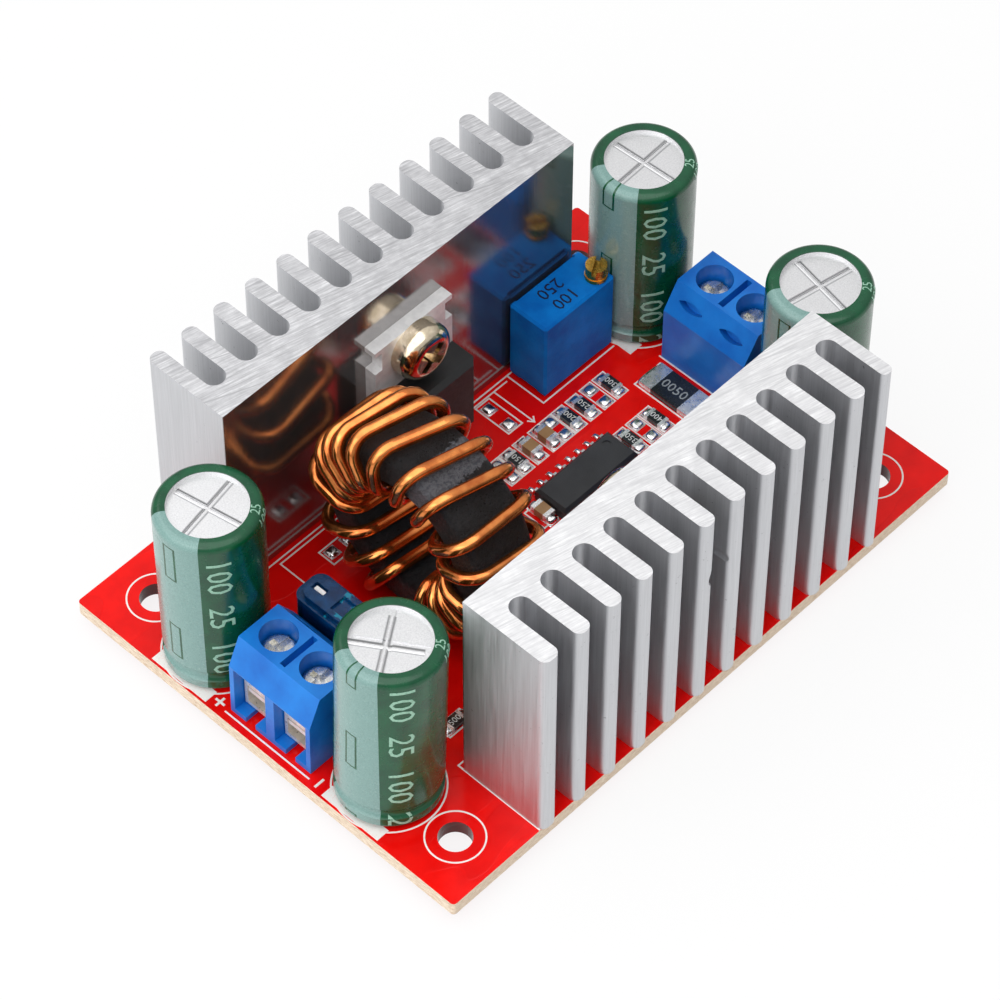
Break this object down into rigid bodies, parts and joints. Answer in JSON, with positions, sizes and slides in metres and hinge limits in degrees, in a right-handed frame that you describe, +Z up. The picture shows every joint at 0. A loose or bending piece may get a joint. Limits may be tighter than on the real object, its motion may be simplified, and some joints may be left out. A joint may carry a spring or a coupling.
{
  "type": "boost converter module",
  "caption": "Step-up power converter module: a board with finned heatsinks, an upright wound ring inductor, can capacitors, trimmers, a fuse and screw terminals.",
  "frame": {"origin": "centre of the bounding box's underside, at the lower ends of the trimmed leads below the middle of the board", "axes": "+X along the long side of the board from the input terminal to the output terminal, +Y towards the rear heatsink, +Z up from the board's component side"},
  "size_m": [0.067, 0.0486, 0.028],
  "materials": {
    "board_red_mask": "gloss",
    "solder": "satin",
    "tinned_steel": "satin",
    "heatsink_aluminium": "satin",
    "tab_nickel": "satin",
    "package_black": "matte",
    "screw_nickel": "polished",
    "core_charcoal": "matte",
    "enamelled_copper": "gloss",
    "fuse_blue_clear": "gloss",
    "trimmer_blue": "satin",
    "trimmer_brass": "polished",
    "resistor_black": "satin",
    "ceramic_brown": "satin",
    "can_aluminium": "satin",
    "sleeve_green": "gloss",
    "bung_rubber": "matte",
    "terminal_blue": "satin",
    "terminal_screw": "satin"
  },
  "bodies": {
    "module": {"circuit_board": "board_red_mask", "solder_joints": "solder", "heatsink_pins": "tinned_steel", "rear_heatsink": "heatsink_aluminium", "front_heatsink": "heatsink_aluminium", "rectifier_tab": "tab_nickel", "mosfet_tab": "tab_nickel", "rectifier_body": "package_black", "mosfet_body": "package_black", "rectifier_screw": "screw_nickel", "mosfet_screw": "screw_nickel", "toroid_core": "core_charcoal", "toroid_winding": "enamelled_copper", "fuse_body": "fuse_blue_clear", "fuse_element": "tinned_steel", "rear_trimmer_housing": "trimmer_blue", "front_trimmer_housing": "trimmer_blue", "rear_trimmer_pins": "tinned_steel", "front_trimmer_pins": "tinned_steel", "controller_body": "package_black", "controller_leads": "tinned_steel", "shunt_body": "package_black", "shunt_terminals": "tinned_steel", "chip_resistor_bodies": "resistor_black", "chip_resistor_ends": "tinned_steel", "chip_capacitor_bodies": "ceramic_brown", "chip_capacitor_ends": "tinned_steel", "tinned_pads": "solder", "capacitor_1_can": "can_aluminium", "capacitor_1_sleeve": "sleeve_green", "capacitor_1_bung": "bung_rubber", "capacitor_1_leads": "tinned_steel", "capacitor_2_can": "can_aluminium", "capacitor_2_sleeve": "sleeve_green", "capacitor_2_bung": "bung_rubber", "capacitor_2_leads": "tinned_steel", "capacitor_3_can": "can_aluminium", "capacitor_3_sleeve": "sleeve_green", "capacitor_3_bung": "bung_rubber", "capacitor_3_leads": "tinned_steel", "capacitor_4_can": "can_aluminium", "capacitor_4_sleeve": "sleeve_green", "capacitor_4_bung": "bung_rubber", "capacitor_4_leads": "tinned_steel", "input_terminal_housing": "terminal_blue", "input_terminal_contacts": "tinned_steel", "output_terminal_housing": "terminal_blue", "output_terminal_contacts": "tinned_steel"},
    "input_clamp_screw_a": {"input_clamp_screw_a": "terminal_screw"},
    "input_clamp_cage_a": {"input_clamp_cage_a": "terminal_screw"},
    "input_clamp_screw_b": {"input_clamp_screw_b": "terminal_screw"},
    "input_clamp_cage_b": {"input_clamp_cage_b": "terminal_screw"},
    "output_clamp_screw_a": {"output_clamp_screw_a": "terminal_screw"},
    "output_clamp_cage_a": {"output_clamp_cage_a": "terminal_screw"},
    "output_clamp_screw_b": {"output_clamp_screw_b": "terminal_screw"},
    "output_clamp_cage_b": {"output_clamp_cage_b": "terminal_screw"},
    "rear_trimmer_screw": {"rear_trimmer_screw": "trimmer_brass"},
    "front_trimmer_screw": {"front_trimmer_screw": "trimmer_brass"}
  },
  "joints": [
    {"name": "input_screw_a_turn", "type": "hinge", "parent": "module", "child": "input_clamp_screw_a", "pos_m": [-0.02825, -0.00254, 0.0099], "axis": [0, 0, -1], "range_deg": [0, 1080]},
    {"name": "input_cage_a_rise", "type": "slide", "parent": "module", "child": "input_clamp_cage_a", "axis": [0, 0, 1], "range_m": [0, 0.00135]},
    {"name": "input_screw_b_turn", "type": "hinge", "parent": "module", "child": "input_clamp_screw_b", "pos_m": [-0.02825, 0.00254, 0.0099], "axis": [0, 0, -1], "range_deg": [0, 1080]},
    {"name": "input_cage_b_rise", "type": "slide", "parent": "module", "child": "input_clamp_cage_b", "axis": [0, 0, 1], "range_m": [0, 0.00135]},
    {"name": "output_screw_a_turn", "type": "hinge", "parent": "module", "child": "output_clamp_screw_a", "pos_m": [0.0294, 0.00254, 0.0099], "axis": [0, 0, -1], "range_deg": [0, 1080]},
    {"name": "output_cage_a_rise", "type": "slide", "parent": "module", "child": "output_clamp_cage_a", "axis": [0, 0, 1], "range_m": [0, 0.00135]},
    {"name": "output_screw_b_turn", "type": "hinge", "parent": "module", "child": "output_clamp_screw_b", "pos_m": [0.0294, -0.00254, 0.0099], "axis": [0, 0, -1], "range_deg": [0, 1080]},
    {"name": "output_cage_b_rise", "type": "slide", "parent": "module", "child": "output_clamp_cage_b", "axis": [0, 0, 1], "range_m": [0, 0.00135]},
    {"name": "rear_trimmer_adjust", "type": "hinge", "parent": "module", "child": "rear_trimmer_screw", "pos_m": [0.02178, 0.01075, 0.013], "axis": [0, 0, 1], "continuous": true},
    {"name": "front_trimmer_adjust", "type": "hinge", "parent": "module", "child": "front_trimmer_screw", "pos_m": [0.02178, -0.01075, 0.013], "axis": [0, 0, 1], "continuous": true}
  ],
  "couplings": [
    {"joint": "input_screw_a_turn", "follows": "input_cage_a_rise", "rad_per_m": 13960},
    {"joint": "input_screw_b_turn", "follows": "input_cage_b_rise", "rad_per_m": 13960},
    {"joint": "output_screw_a_turn", "follows": "output_cage_a_rise", "rad_per_m": 13960},
    {"joint": "output_screw_b_turn", "follows": "output_cage_b_rise", "rad_per_m": 13960}
  ]
}
